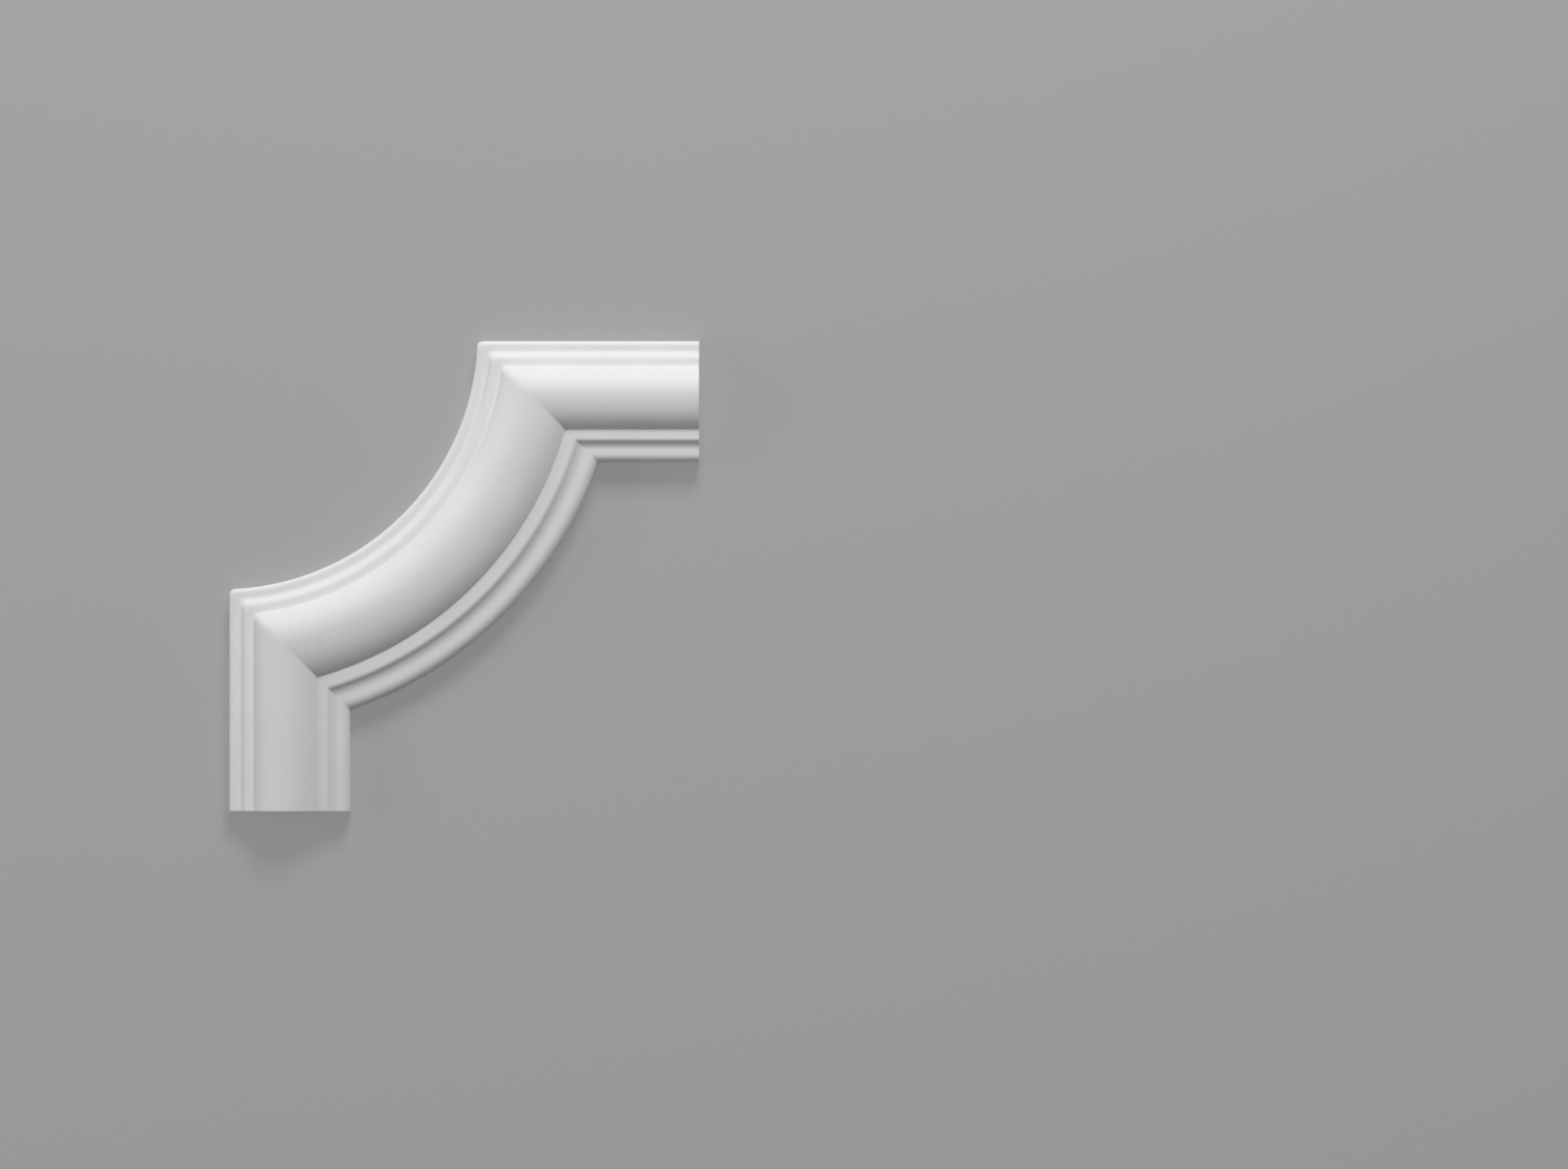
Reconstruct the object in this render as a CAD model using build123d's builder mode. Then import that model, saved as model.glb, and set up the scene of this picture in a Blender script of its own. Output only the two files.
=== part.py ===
from build123d import *
from math import isclose
import os

# One-piece corner for a wall panel moulding. Two straight legs stand at right angles, and a round sweep,
# bowed towards the inside of the corner, joins them at two mitres. The piece lies on its flat back.
# X runs along one leg, Y along the other and Z out of the wall. The origin is the middle of the square
# that the piece fills, on its back. All sizes are in millimetres.

# Plan
reach = 155.0  # outer edge line of one leg to the cut end of the other
leg_length = 73.2  # outer edge of a leg, from its cut end to the mitre
sweep_centre_offset = 2.4  # the sweep's centre lies this far outside both outer edge lines
outer_corner_ease = 0.9  # the outer corners are this much rounder in plan than the outer edge is

# Section, from the outer edge to the inner edge: widths across the face
outer_flat_width = 1.1  # beside the rounded outer edge
step_width = 3.6
middle_band_width = 1.8
quirk_width = 0.6  # the small steep riser at the bead's outer side
bead_outer_width = 8.7  # from the quirk to the bead's crown
bead_back_width = 5.3  # the flatter arc behind the crown
bead_turn_width = 6.4  # the tighter arc from there down to the crease
inner_band_width = 2.8
ogee_width = 4.0
inner_flat_width = 1.3  # beside the rounded inner edge

# Section: the outer edge's thickness, then each rise and fall along the same way
outer_edge_thickness = 7.3
step_rise = 2.5
quirk_rise = 1.6
bead_rise = 5.4
bead_back_fall = 0.8
bead_turn_fall = 4.4
ogee_fall = 1.9

# Section: roundings
outer_edge_radius = 1.6
inner_edge_radius = 2.8
ogee_top_radius = 1.6  # the upper, swelling arc; the lower, hollow one takes up the rest

# Points of the section: x across the face from the outer edge, y up from the back
step_foot = Vector(outer_edge_radius + outer_flat_width, outer_edge_thickness)
step_top = step_foot + Vector(step_width, step_rise)
quirk_foot = step_top + Vector(middle_band_width, 0)
bead_start = quirk_foot + Vector(quirk_width, quirk_rise)
crown = bead_start + Vector(bead_outer_width, bead_rise)
bead_turn = crown + Vector(bead_back_width, -bead_back_fall)
crease = bead_turn + Vector(bead_turn_width, -bead_turn_fall)
ogee_top = crease + Vector(inner_band_width, 0)
ogee_foot = ogee_top + Vector(ogee_width, -ogee_fall)
inner_round_top = ogee_foot + Vector(inner_flat_width, 0)
inner_round_foot = inner_round_top + Vector(inner_edge_radius, -inner_edge_radius)

# Planes and axis of the plan
half = reach / 2
mitre_x = half - leg_length
plan_corner_radius = outer_edge_radius + outer_corner_ease
section_plane = Plane(origin=(half, half, 0), x_dir=(0, -1, 0), z_dir=(-1, 0, 0))
mitre_plane = Plane(origin=(mitre_x, half, 0), x_dir=(1, -1, 0), z_dir=(1, 1, 0))
diagonal_plane = Plane(origin=(0, 0, 0), x_dir=(1, -1, 0), z_dir=(1, 1, 0))
sweep_axis = Axis((-half - sweep_centre_offset, half + sweep_centre_offset, 0), (0, 0, 1))
outer_wall_count = 5  # one along each leg, one round the sweep, and a rounded one at each mitre


def ogee(start, end, first_radius=None):
    """Two arcs, level at both ends, that meet on the straight line from start to end."""
    across = end - start
    both_radii = across.length**2 / (2 * abs(across.Y))
    if first_radius is None:
        first_radius = both_radii / 2
    joint = start + across * (first_radius / both_radii)
    first_arc = TangentArc(start, joint, tangent=(1, 0))
    TangentArc(joint, end, tangent=first_arc % 1)


def is_upright(face):
    """Walls and cut ends: their normals are level."""
    return isclose(face.normal_at().Z, 0, abs_tol=1e-6)


os.makedirs("parts", exist_ok=True)

with BuildPart() as corner_moulding:
    # Straight leg along X, cut off at its mitre
    with BuildSketch(section_plane):
        with BuildLine():
            Polyline((0, 0), (0, outer_edge_thickness), step_foot)
            ogee(step_foot, step_top)
            Polyline(step_top, quirk_foot, bead_start)
            TangentArc(crown, bead_start, tangent=(-1, 0))
            bead_back = TangentArc(crown, bead_turn, tangent=(1, 0))
            TangentArc(bead_turn, crease, tangent=bead_back % 1)
            Line(crease, ogee_top)
            ogee(ogee_top, ogee_foot, ogee_top_radius)
            Line(ogee_foot, inner_round_top)
            TangentArc(inner_round_top, inner_round_foot, tangent=(1, 0))
            Polyline(inner_round_foot, (inner_round_foot.X, 0), (0, 0))
        make_face()
    extrude(amount=reach)
    split(bisect_by=mitre_plane, keep=Keep.TOP)

    # Sweep: the mitre's own face turned about the sweep's centre, so that every line meets at the mitre.
    # A quarter turn passes the diagonal, where it is cut, and the other half is the mirror image.
    mitre_face = faces().filter_by(mitre_plane).sort_by(Axis.X)[0]
    revolve(mitre_face, axis=sweep_axis, revolution_arc=-90)
    split(bisect_by=diagonal_plane, keep=Keep.TOP)
    mirror(about=diagonal_plane)

    # Outer corners rounded in plan, then the whole outer edge rounded over. The outer walls are the upright
    # faces nearest the sweep's centre.
    mitre_corners = [(mitre_x, half, 0), (-half, -mitre_x, 0)]
    uprights = edges().filter_by(Axis.Z)
    fillet([uprights.sort_by_distance(corner)[0] for corner in mitre_corners], plan_corner_radius)
    outer_walls = faces().filter_by(is_upright).sort_by_distance(sweep_axis.position)[:outer_wall_count]
    fillet([wall.edges().sort_by(Axis.Z)[-1] for wall in outer_walls], outer_edge_radius)

corner_moulding.part.label = "corner_moulding"
export_step(corner_moulding.part, "parts/corner_moulding.step")
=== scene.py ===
import bpy
import cmath
import math
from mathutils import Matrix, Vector


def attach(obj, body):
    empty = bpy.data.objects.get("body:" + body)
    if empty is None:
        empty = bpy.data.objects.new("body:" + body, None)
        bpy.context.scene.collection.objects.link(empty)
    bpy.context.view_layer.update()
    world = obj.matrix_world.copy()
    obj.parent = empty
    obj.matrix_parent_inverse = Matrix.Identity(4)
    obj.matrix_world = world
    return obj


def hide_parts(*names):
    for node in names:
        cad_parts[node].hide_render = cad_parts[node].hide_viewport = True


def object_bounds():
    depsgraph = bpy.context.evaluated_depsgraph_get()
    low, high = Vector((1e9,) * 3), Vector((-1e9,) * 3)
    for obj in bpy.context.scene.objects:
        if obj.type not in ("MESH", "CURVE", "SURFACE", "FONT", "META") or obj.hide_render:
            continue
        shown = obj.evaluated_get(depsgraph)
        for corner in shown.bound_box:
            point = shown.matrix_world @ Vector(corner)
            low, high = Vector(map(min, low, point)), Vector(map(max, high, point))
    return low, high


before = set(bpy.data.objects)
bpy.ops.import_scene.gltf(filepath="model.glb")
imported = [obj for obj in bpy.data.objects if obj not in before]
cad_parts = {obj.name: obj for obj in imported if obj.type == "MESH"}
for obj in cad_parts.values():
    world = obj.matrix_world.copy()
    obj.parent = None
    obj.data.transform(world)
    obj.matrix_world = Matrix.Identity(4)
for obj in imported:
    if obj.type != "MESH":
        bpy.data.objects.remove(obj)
cad_low, cad_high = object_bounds()

MM = 0.001

# Plan of the corner, in metres
reach = cad_high.x - cad_low.x
crown_height = cad_high.z - cad_low.z
leg_length = 73.2 * MM
mitre_setback = reach - leg_length
sweep_centre_offset = 2.4 * MM

# Section of the moulding, from its outer edge to its inner edge
outer_edge_radius = 1.6 * MM
outer_flat_width = 1.1 * MM
step_width = 3.6 * MM
step_rise = 2.5 * MM
middle_band_width = 1.8 * MM
quirk_width = 0.6 * MM
quirk_rise = 1.6 * MM
bead_outer_width = 8.7 * MM
bead_rise = 5.4 * MM
bead_back_width = 5.3 * MM
bead_back_fall = 0.8 * MM
bead_turn_width = 6.4 * MM
bead_turn_fall = 4.4 * MM
inner_band_width = 2.8 * MM
ogee_width = 4.0 * MM
ogee_fall = 1.9 * MM
ogee_top_radius = 1.6 * MM
inner_flat_width = 1.3 * MM
inner_edge_radius = 2.8 * MM
outer_edge_thickness = crown_height - step_rise - quirk_rise - bead_rise
bead_start_across = outer_edge_radius + outer_flat_width + step_width + middle_band_width + quirk_width
bead_turn_across = bead_start_across + bead_outer_width + bead_back_width

# Softness that moulding and priming leave on sharp corners
back_arris = 0.3 * MM
bead_arris = 0.5 * MM
quirk_hollow = 0.25 * MM
crease_hollow = 0.2 * MM
ridge_ease = 2.2 * MM
valley_ease = 0.4 * MM

# Fineness of the mesh
arc_steps = 9
bead_steps = 22
arris_steps = 4
back_steps = 16
leg_steps = 14
corner_steps = 8
sweep_steps = 100

# Edges that bend more than crisp_angle stay crisp. Faces this near to an end of the run, in steps, are cut
# ends, and faces whose upward share is below back_facing are the back
crisp_angle = math.radians(40)
end_margin = 0.01
back_facing = -0.99

# Colours of the finishes
primer_thin = (0.815, 0.815, 0.81)
primer_full = (0.845, 0.845, 0.84)
foam_shade = (0.785, 0.77, 0.735)
foam_light = (0.83, 0.82, 0.795)

# Grain of the finishes: the size of their lumps, or one size along each axis
primer_mottle = 18 * MM
primer_peel = 1.6 * MM
primer_tooth = 0.3 * MM
sanding_scratches = (45 * MM, 0.5 * MM, 0.5 * MM)
sanding_cloud = 14 * MM
sawing_lines = (30 * MM, 30 * MM, 0.35 * MM)
sawing_cloud = 6 * MM
foam_cell = 0.45 * MM
plain_detail = 2.0
fine_detail = 3.0
scratch_detail = 4.0
noise_gain = 2.0

# Share of one grain where it is mixed with another
tooth_share = 0.3
sanding_cloud_share = 0.4
sanding_cell_share = 0.3
sawing_cloud_share = 0.5
sawing_cell_share = 0.5

# Roughness of the finishes: the least, and how much each grain adds
primer_roughness = 0.6
mottle_roughness = 0.1
tooth_roughness = 0.05
sanded_roughness = 0.78
scratch_roughness = 0.12
sawn_roughness = 0.8
saw_line_roughness = 0.1

# Relief of the finishes: its depth, and the strength with which it shows
primer_relief = 0.02 * MM
sanding_relief = 0.05 * MM
sawing_relief = 0.06 * MM
relief_strength = 0.5

# Floor: its own colour, the even grey that is seen, and that grey's share of the view
floor_side = 12.0
floor_colour = (0.8, 0.8, 0.8)
floor_grey = (0.28, 0.28, 0.28)
floor_grey_share = 0.78
floor_roughness = 0.9

# Light: the even light's strength, and the soft lamps' distance and side. Then the tilt of each lamp from
# straight above, its turn from the photograph's top to its left, and its power
even_light = 0.13
lamp_distance = 1.2
lamp_side = 0.42
lamps = {
    "key": (math.radians(49), math.radians(-10), 10.4),
    "fill": (math.radians(64), math.radians(85), 3.2),
}

# Photograph's frame, in pixels, and the lens in millimetres
photo_width = 1600
photo_height = 1193
corner_centre_px = (473.9, 587.9)
corner_reach_px = 479.0
camera_lens = 600.0

# Places of the sockets of a Mix node that mixes colours
MIX_FACTOR = 0
MIX_LOW = 6
MIX_HIGH = 7
MIX_RESULT = 2


class Wire:
    """One output of a node. Arithmetic on it adds Math nodes, and node() adds any other kind."""

    def __init__(self, tree, socket=None):
        self.tree = tree
        self.socket = socket

    def node(self, kind, settings=None, inputs=None):
        """Adds a node, sets it up, then fills or links its sockets, and returns its first output."""
        made = self.tree.nodes.new(kind)
        for name, value in (settings or {}).items():
            setattr(made, name, value)
        for name, value in (inputs or {}).items():
            self.feed(value, made.inputs[name])
        return Wire(self.tree, made.outputs[0] if made.outputs else None)

    def output(self, name):
        """Another output of the same node."""
        return Wire(self.tree, self.socket.node.outputs[name])

    def feed(self, value, socket):
        """Links a wire to a socket, or sets the socket to a plain value."""
        if isinstance(value, Wire):
            self.tree.links.new(value.socket, socket)
        else:
            socket.default_value = value

    def math(self, operation, *values):
        return self.node("ShaderNodeMath", {"operation": operation}, dict(enumerate(values)))

    def clamped(self):
        return self.math("MINIMUM", self.math("MAXIMUM", self, 0.0), 1.0)

    def mixed(self, other, share):
        """This value, with the given share of another."""
        return self * (1 - share) + other * share

    def __add__(self, other):
        return self.math("ADD", self, other)

    def __radd__(self, other):
        return self.math("ADD", other, self)

    def __sub__(self, other):
        return self.math("SUBTRACT", self, other)

    def __rsub__(self, other):
        return self.math("SUBTRACT", other, self)

    def __mul__(self, other):
        return self.math("MULTIPLY", self, other)

    def __rmul__(self, other):
        return self.math("MULTIPLY", other, self)

    def __truediv__(self, other):
        return self.math("DIVIDE", self, other)

    def __pow__(self, other):
        return self.math("POWER", self, other)

    def __neg__(self):
        return self.math("MULTIPLY", self, -1.0)

    def __gt__(self, other):
        return self.math("GREATER_THAN", self, other)

    def __lt__(self, other):
        return self.math("LESS_THAN", self, other)


def add_object(name, data):
    """A new object in the scene, at the origin."""
    made = bpy.data.objects.new(name, data)
    bpy.context.scene.collection.objects.link(made)
    return made


# Section of the moulding: complex numbers, across the face + 1j * up from the back


def tangent_arc(start, end, heading, steps=arc_steps):
    """The points after start of the arc to end that leaves start along heading."""
    half_turn = cmath.phase((end - start) / heading)
    diameter = abs(end - start) / math.sin(half_turn)
    turns = [half_turn * step / steps for step in range(1, steps + 1)]
    return [start + diameter * math.sin(turn) * heading * cmath.exp(1j * turn) for turn in turns]


def heading_after(start, end, heading):
    """The heading at the end of a tangent arc."""
    return heading * cmath.exp(2j * cmath.phase((end - start) / heading))


def ogee(start, end, first_radius=None):
    """The points after start of two arcs, level at both ends, that meet on the line from start to end."""
    both_radii = abs(end - start) ** 2 / (2 * abs((end - start).imag))
    share = 0.5 if first_radius is None else first_radius / both_radii
    joint = start + (end - start) * share
    return tangent_arc(start, joint, 1) + tangent_arc(joint, end, heading_after(start, joint, 1))


def soften(outline, softness):
    """The closed outline with a small arc of the given radius at each point that softness names."""
    softened = []
    for index, corner in enumerate(outline):
        radius = softness.get(corner)
        if radius is None:
            softened.append(corner)
            continue
        before = outline[index - 1] - corner
        after = outline[(index + 1) % len(outline)] - corner
        heading = -before / abs(before)
        turn = abs(cmath.phase(after / -before))
        reach_back = radius * math.tan(turn / 2)
        start = corner - heading * reach_back
        end = corner + after / abs(after) * reach_back
        softened += [start] + tangent_arc(start, end, heading, arris_steps)
    return softened


def section_outline():
    """The section, up the outer wall, over the face, down the inner wall and along the back."""
    outer_foot = 0j
    outer_round = outer_edge_thickness * 1j - outer_edge_radius * 1j
    outer_flat = outer_edge_radius + outer_edge_thickness * 1j
    step_foot = outer_flat + outer_flat_width
    step_top = step_foot + step_width + step_rise * 1j
    quirk_foot = step_top + middle_band_width
    bead_start = quirk_foot + quirk_width + quirk_rise * 1j
    crown = bead_start + bead_outer_width + bead_rise * 1j
    bead_turn = crown + bead_back_width - bead_back_fall * 1j
    crease = bead_turn + bead_turn_width - bead_turn_fall * 1j
    ogee_top = crease + inner_band_width
    ogee_foot = ogee_top + ogee_width - ogee_fall * 1j
    inner_flat = ogee_foot + inner_flat_width
    inner_round = inner_flat + inner_edge_radius - inner_edge_radius * 1j
    inner_foot = inner_round.real + 0j

    outline = [outer_foot, outer_round]
    outline += tangent_arc(outer_round, outer_flat, 1j)
    outline += [step_foot] + ogee(step_foot, step_top)
    outline += [quirk_foot, bead_start]
    outline += tangent_arc(crown, bead_start, -1, bead_steps)[-2::-1]
    outline += [crown] + tangent_arc(crown, bead_turn, 1, bead_steps)
    outline += tangent_arc(bead_turn, crease, heading_after(crown, bead_turn, 1), bead_steps)[:-1]
    outline += [crease, ogee_top] + ogee(ogee_top, ogee_foot, ogee_top_radius)
    outline += [inner_flat] + tangent_arc(inner_flat, inner_round, 1)
    outline += [inner_foot]
    outline += [inner_foot * (1 - step / back_steps) for step in range(1, back_steps)]
    softness = {
        outer_foot: back_arris,
        inner_foot: back_arris,
        quirk_foot: quirk_hollow,
        bead_start: bead_arris,
        crease: crease_hollow,
    }
    return soften(outline, softness)


# Corner: the section run along one leg, round the sweep and along the other leg


def group_inputs(net, kinds):
    """Adds the named inputs to a node tree and returns them as wires."""
    for name, kind in kinds.items():
        net.tree.interface.new_socket(name, in_out="INPUT", socket_type=kind)
    made = net.node("NodeGroupInput")
    return {name: made.output(name) for name in kinds}


def mitred_run():
    """A node tree that sweeps a section outline along the corner, with both mitres.

    A straight bar is made first, one unit of length for each step along the run. Each of its points then
    moves to its place in plan: along a leg, across the eased mitre, or round the sweep. The second half
    of the run mirrors the first, with the two plan directions changed over.
    """
    tree = bpy.data.node_groups.new("mitred_run", "GeometryNodeTree")
    net = Wire(tree)
    sizes = {
        "Section": "NodeSocketGeometry",
        "Reach": "NodeSocketFloat",
        "Mitre Setback": "NodeSocketFloat",
        "Sweep Centre Offset": "NodeSocketFloat",
        "Ridge Ease": "NodeSocketFloat",
        "Valley Ease": "NodeSocketFloat",
        "Ridge End": "NodeSocketFloat",
        "Valley Start": "NodeSocketFloat",
        "Leg Steps": "NodeSocketInt",
        "Corner Steps": "NodeSocketInt",
        "Sweep Steps": "NodeSocketInt",
        "Face Material": "NodeSocketMaterial",
        "Back Material": "NodeSocketMaterial",
        "End Material": "NodeSocketMaterial",
    }
    size = group_inputs(net, sizes)
    tree.interface.new_socket("Corner", in_out="OUTPUT", socket_type="NodeSocketGeometry")

    # Straight bar
    all_steps = 2 * (size["Leg Steps"] + size["Corner Steps"]) + size["Sweep Steps"]
    bar_end = net.node("ShaderNodeCombineXYZ", inputs={"X": all_steps})
    path = net.node("GeometryNodeCurvePrimitiveLine", inputs={"End": bar_end})
    path = net.node("GeometryNodeResampleCurve", inputs={"Curve": path, "Count": all_steps + 1})
    profile = net.node("GeometryNodeMeshToCurve", inputs={"Mesh": size["Section"]})
    bar_sockets = {"Curve": path, "Profile Curve": profile, "Fill Caps": True}
    body = net.node("GeometryNodeCurveToMesh", inputs=bar_sockets)
    bar_x = net.node("ShaderNodeSeparateXYZ", inputs={"Vector": net.node("GeometryNodeInputPosition")})
    bar_y, up = bar_x.output("Y"), bar_x.output("Z")
    for name, value in {"along": bar_x, "across": -bar_y}.items():
        stored = {"Geometry": body, "Name": name, "Value": value}
        body = net.node("GeometryNodeStoreNamedAttribute", inputs=stored)
    along = net.node("GeometryNodeInputNamedAttribute", inputs={"Name": "along"})
    across = net.node("GeometryNodeInputNamedAttribute", inputs={"Name": "across"})

    # Place in plan of each point: towards the leg's end, and away from the leg's outer edge line
    step = net.math("MINIMUM", along, all_steps - along)
    on_leg = (step / size["Leg Steps"]).clamped()
    on_corner = ((step - size["Leg Steps"]) / size["Corner Steps"]).clamped()
    on_sweep = ((step - size["Leg Steps"] - size["Corner Steps"]) * 2 / size["Sweep Steps"]).clamped()
    fade = {"From Min": size["Ridge End"], "From Max": size["Valley Start"]}
    fade |= {"Value": across, "To Min": size["Ridge Ease"], "To Max": size["Valley Ease"]}
    ease = net.node("ShaderNodeMapRange", {"interpolation_type": "SMOOTHSTEP"}, fade)
    mitre_at = size["Mitre Setback"] + across
    leg_at = size["Reach"] + (mitre_at + ease - size["Reach"]) * on_leg
    from_centre = across + size["Sweep Centre Offset"]
    radius = net.math("SQRT", (mitre_at + size["Sweep Centre Offset"]) ** 2 + from_centre**2)
    first_angle = net.math("ARCTAN2", from_centre, mitre_at + size["Sweep Centre Offset"]) + ease / radius
    angle = first_angle + (math.pi / 4 - first_angle) * on_sweep
    sweep_at = radius * net.math("COSINE", angle) - size["Sweep Centre Offset"]
    sweep_in = radius * net.math("SINE", angle) - size["Sweep Centre Offset"]
    before, after = (1 - on_corner) ** 2, on_corner**2
    at_mitre = 1 - before - after
    outwards = leg_at * before + mitre_at * at_mitre + sweep_at * after
    inset = across * (before + at_mitre) + sweep_in * after

    # The second half mirrors the first about the diagonal
    second = along > all_steps / 2
    x = inset + (outwards - inset) * second - size["Reach"] / 2
    y = size["Reach"] / 2 - outwards - (inset - outwards) * second
    place = net.node("ShaderNodeCombineXYZ", inputs={"X": x, "Y": y, "Z": up})
    body = net.node("GeometryNodeSetPosition", inputs={"Geometry": body, "Position": place})

    # Smooth faces, but for the corners round the cut ends, and the three finishes
    edge_angle = net.node("GeometryNodeInputMeshEdgeAngle")
    smooth = {"Geometry": body, "Shade Smooth": edge_angle < crisp_angle}
    body = net.node("GeometryNodeSetShadeSmooth", {"domain": "EDGE"}, smooth)
    body = net.node("GeometryNodeRealizeInstances", inputs={"Geometry": body})
    normal = net.node("GeometryNodeInputNormal")
    facing_up = net.node("ShaderNodeSeparateXYZ", inputs={"Vector": normal}).output("Z")
    finishes = {
        "Face Material": True,
        "Back Material": facing_up < back_facing,
        "End Material": step < end_margin,
    }
    for name, faces in finishes.items():
        sockets = {"Geometry": body, "Selection": faces, "Material": size[name]}
        body = net.node("GeometryNodeSetMaterial", inputs=sockets)
    net.node("NodeGroupOutput", inputs={"Corner": body})
    return tree


def make_corner(name, materials):
    """The moulding as a plain mesh object."""
    outline = section_outline()
    section = bpy.data.meshes.new("section")
    loop = [(point, (point + 1) % len(outline)) for point in range(len(outline))]
    section.from_pydata([(point.real, -point.imag, 0) for point in outline], loop, [])
    maker = add_object("section", section)
    tree = mitred_run()
    modifier = maker.modifiers.new("run", "NODES")
    modifier.node_group = tree
    values = {
        "Reach": reach,
        "Mitre Setback": mitre_setback,
        "Sweep Centre Offset": sweep_centre_offset,
        "Ridge Ease": ridge_ease,
        "Valley Ease": valley_ease,
        "Ridge End": bead_start_across,
        "Valley Start": bead_turn_across,
        "Leg Steps": leg_steps,
        "Corner Steps": corner_steps,
        "Sweep Steps": sweep_steps,
        **materials,
    }
    for item in tree.interface.items_tree:
        if item.name in values:
            modifier[item.identifier] = values[item.name]
    graph = bpy.context.evaluated_depsgraph_get()
    mesh = bpy.data.meshes.new_from_object(maker.evaluated_get(graph))
    bpy.data.objects.remove(maker)
    mesh.name = name
    return add_object(name, mesh)


# Finishes


def new_material(name):
    """An empty node material: its shader, and a wire to build on."""
    material = bpy.data.materials.new(name)
    material.use_nodes = True
    return material, material.node_tree.nodes["Principled BSDF"], Wire(material.node_tree)


def place_on_object(net):
    return net.node("ShaderNodeTexCoord").output("Object")


def noise(net, place, grain, detail=plain_detail):
    """Soft noise, stretched to fill 0 to 1, because it seldom leaves its middle half."""
    sizes = grain if isinstance(grain, tuple) else (grain, grain, grain)
    place = net.node("ShaderNodeVectorMath", {"operation": "DIVIDE"}, {0: place, 1: sizes})
    lumps = net.node("ShaderNodeTexNoise", inputs={"Vector": place, "Scale": 1.0, "Detail": detail})
    return (lumps * noise_gain - (noise_gain - 1) / 2).clamped()


def foam_cells(net, place):
    """The small closed cells of rigid foam: 0 in the middle of a cell, 1 far from it."""
    return net.node("ShaderNodeTexVoronoi", inputs={"Vector": place, "Scale": 1 / foam_cell})


def mix_colour(net, factor, low, high):
    """The colour low where factor is 0, and high where it is 1."""
    sockets = {MIX_FACTOR: factor, MIX_LOW: (*low, 1), MIX_HIGH: (*high, 1)}
    return net.node("ShaderNodeMix", {"data_type": "RGBA"}, sockets).output(MIX_RESULT)


def set_finish(net, shader, colour, roughness, height, depth):
    """Feeds a finish to its shader. Height is the relief from 0 to 1, and depth is its size."""
    relief = {"Height": height, "Distance": depth, "Strength": relief_strength}
    normal = net.node("ShaderNodeBump", inputs=relief)
    for name, value in {"Base Color": colour, "Roughness": roughness, "Normal": normal}.items():
        net.feed(value, shader.inputs[name])


def white_primer():
    """Matt white primer, sprayed: faint mottle, a fine orange peel and a finer tooth."""
    material, shader, net = new_material("white_primer")
    place = place_on_object(net)
    mottle = noise(net, place, primer_mottle, fine_detail)
    peel = noise(net, place, primer_peel)
    tooth = noise(net, place, primer_tooth, fine_detail)
    colour = mix_colour(net, mottle, primer_thin, primer_full)
    roughness = primer_roughness + mottle * mottle_roughness + tooth * tooth_roughness
    height = peel.mixed(tooth, tooth_share)
    set_finish(net, shader, colour, roughness, height, primer_relief)
    return material


def sanded_back():
    """Bare foam, sanded flat along X: long fine scratches over its cells."""
    material, shader, net = new_material("sanded_back")
    place = place_on_object(net)
    scratches = noise(net, place, sanding_scratches, scratch_detail)
    cloud = noise(net, place, sanding_cloud, fine_detail)
    cells = foam_cells(net, place)
    colour = mix_colour(net, scratches.mixed(cloud, sanding_cloud_share), foam_shade, foam_light)
    roughness = sanded_roughness + scratches * scratch_roughness
    height = scratches.mixed(cells, sanding_cell_share)
    set_finish(net, shader, colour, roughness, height, sanding_relief)
    return material


def sawn_end():
    """Bare foam, cut square: fine level saw lines over its open cells."""
    material, shader, net = new_material("sawn_end")
    place = place_on_object(net)
    saw_lines = noise(net, place, sawing_lines, fine_detail)
    cloud = noise(net, place, sawing_cloud, fine_detail)
    cells = foam_cells(net, place)
    colour = mix_colour(net, cells.mixed(cloud, sawing_cloud_share), foam_shade, foam_light)
    roughness = sawn_roughness + saw_lines * saw_line_roughness
    height = saw_lines.mixed(cells, sawing_cell_share)
    set_finish(net, shader, colour, roughness, height, sawing_relief)
    return material


# Stage, light and camera


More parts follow.
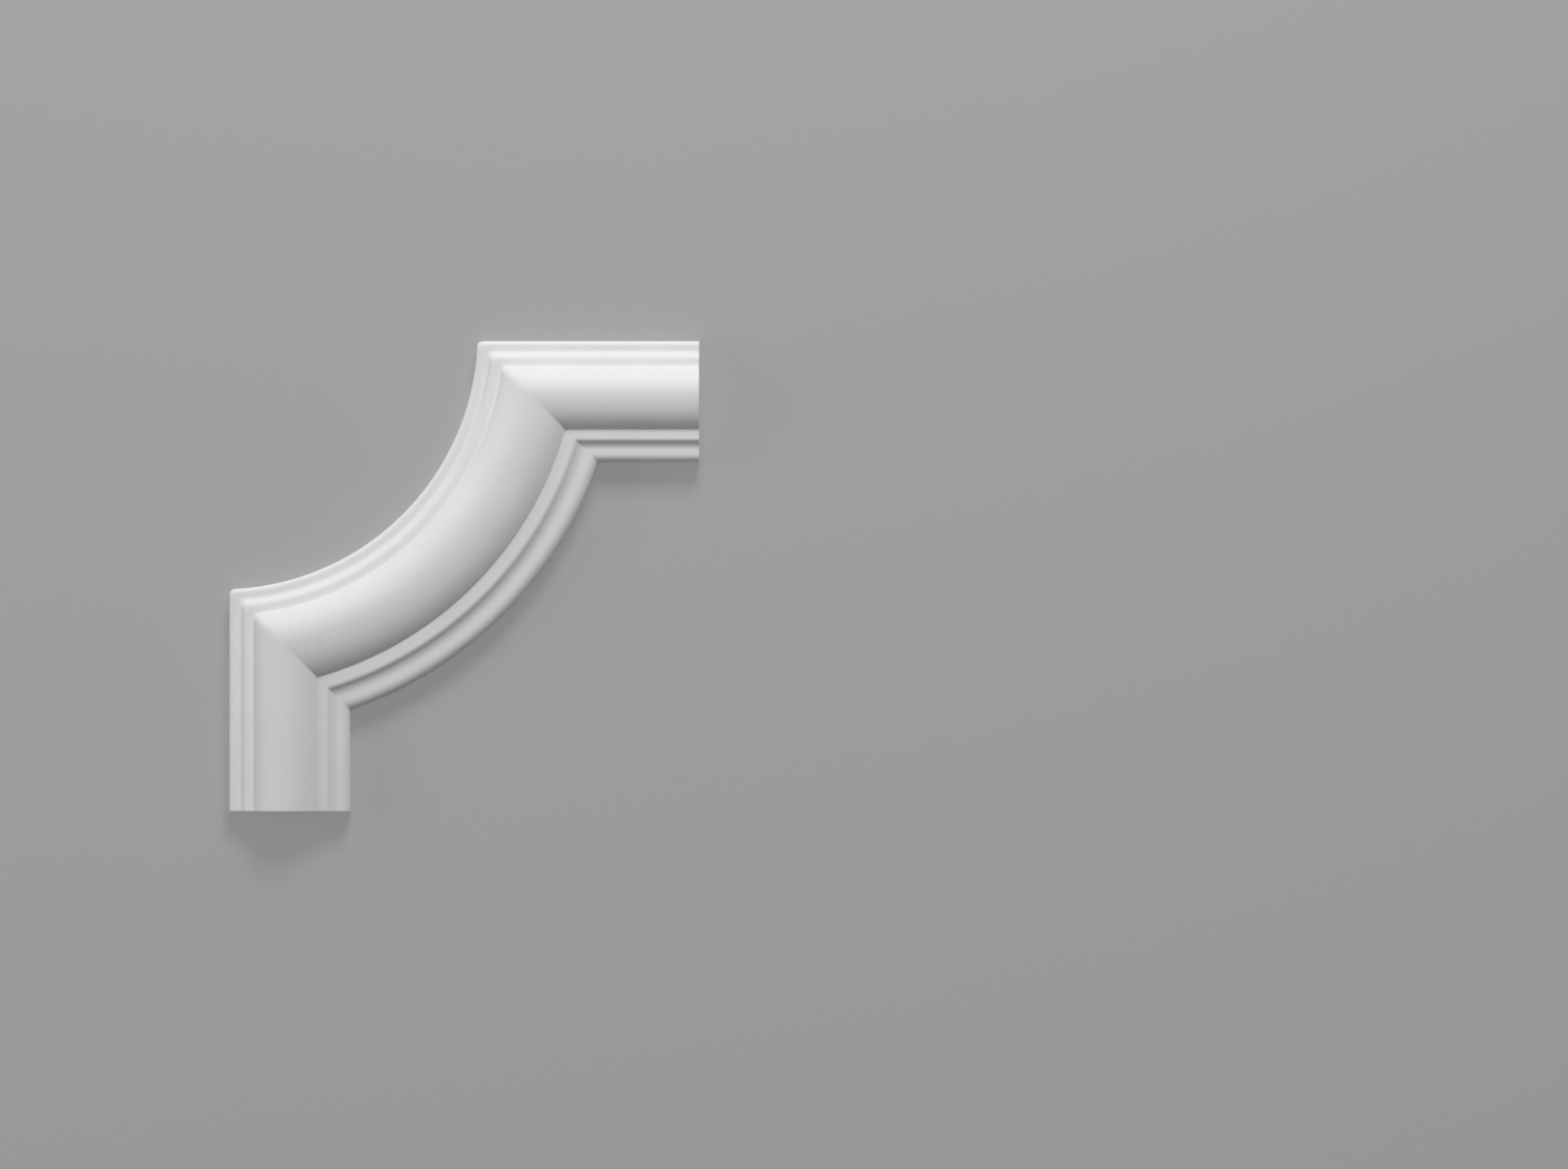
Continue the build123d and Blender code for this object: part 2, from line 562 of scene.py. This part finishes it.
def make_floor():
    """A plain pale floor. Seen directly it is mostly an even grey, which also lightens the shadow on it."""
    mesh = bpy.data.meshes.new("floor")
    half = floor_side / 2
    corners = [(-half, -half, 0), (half, -half, 0), (half, half, 0), (-half, half, 0)]
    mesh.from_pydata(corners, [], [(0, 1, 2, 3)])
    material, shader, net = new_material("floor")
    net.feed((*floor_colour, 1), shader.inputs["Base Color"])
    net.feed(floor_roughness, shader.inputs["Roughness"])
    ray = net.node("ShaderNodeLightPath")
    seen = ray.output("Is Camera Ray") + ray.output("Is Glossy Ray") + ray.output("Is Transmission Ray")
    even = net.node("ShaderNodeEmission", inputs={"Color": (*floor_grey, 1)})
    lit = Wire(net.tree, shader.outputs["BSDF"])
    both = net.node("ShaderNodeMixShader", inputs={0: seen.clamped() * floor_grey_share, 1: lit, 2: even})
    net.feed(both, net.tree.nodes["Material Output"].inputs["Surface"])
    mesh.materials.append(material)
    add_object("floor", mesh)


def soft_lamp(name, tilt, turn, power):
    """A soft square lamp that faces the corner."""
    lamp = bpy.data.lights.new(name, "AREA")
    lamp.size = lamp_side
    lamp.energy = power
    away = math.sin(tilt)
    place = lamp_distance * Vector((-away * math.sin(turn), away * math.cos(turn), math.cos(tilt)))
    holder = add_object(name, lamp)
    holder.location = place
    holder.rotation_euler = (-place).to_track_quat("-Z", "Y").to_euler()


def world_light(strength):
    """Even white light from all round."""
    world = bpy.data.worlds.new("studio")
    world.use_nodes = True
    background = world.node_tree.nodes["Background"]
    background.inputs["Color"].default_value = (1, 1, 1, 1)
    background.inputs["Strength"].default_value = strength
    bpy.context.scene.world = world


def make_camera():
    """A camera that looks straight down and frames the corner as the photograph does."""
    camera = bpy.data.cameras.new("camera")
    camera.lens = camera_lens
    pixel = reach / corner_reach_px
    right = (photo_width / 2 - corner_centre_px[0]) * pixel
    away = (corner_centre_px[1] - photo_height / 2) * pixel
    distance = pixel * photo_width * camera_lens / camera.sensor_width
    holder = add_object("camera", camera)
    holder.location = (right, away, distance)
    bpy.context.scene.camera = holder


finishes = {"Face Material": white_primer(), "Back Material": sanded_back(), "End Material": sawn_end()}
corner = make_corner("moulded_corner", finishes)
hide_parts("corner_moulding")
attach(corner, "root")

make_floor()
world_light(even_light)
for name, (tilt, turn, power) in lamps.items():
    soft_lamp(name, tilt, turn, power)
make_camera()
bpy.context.scene.view_settings.view_transform = "Standard"
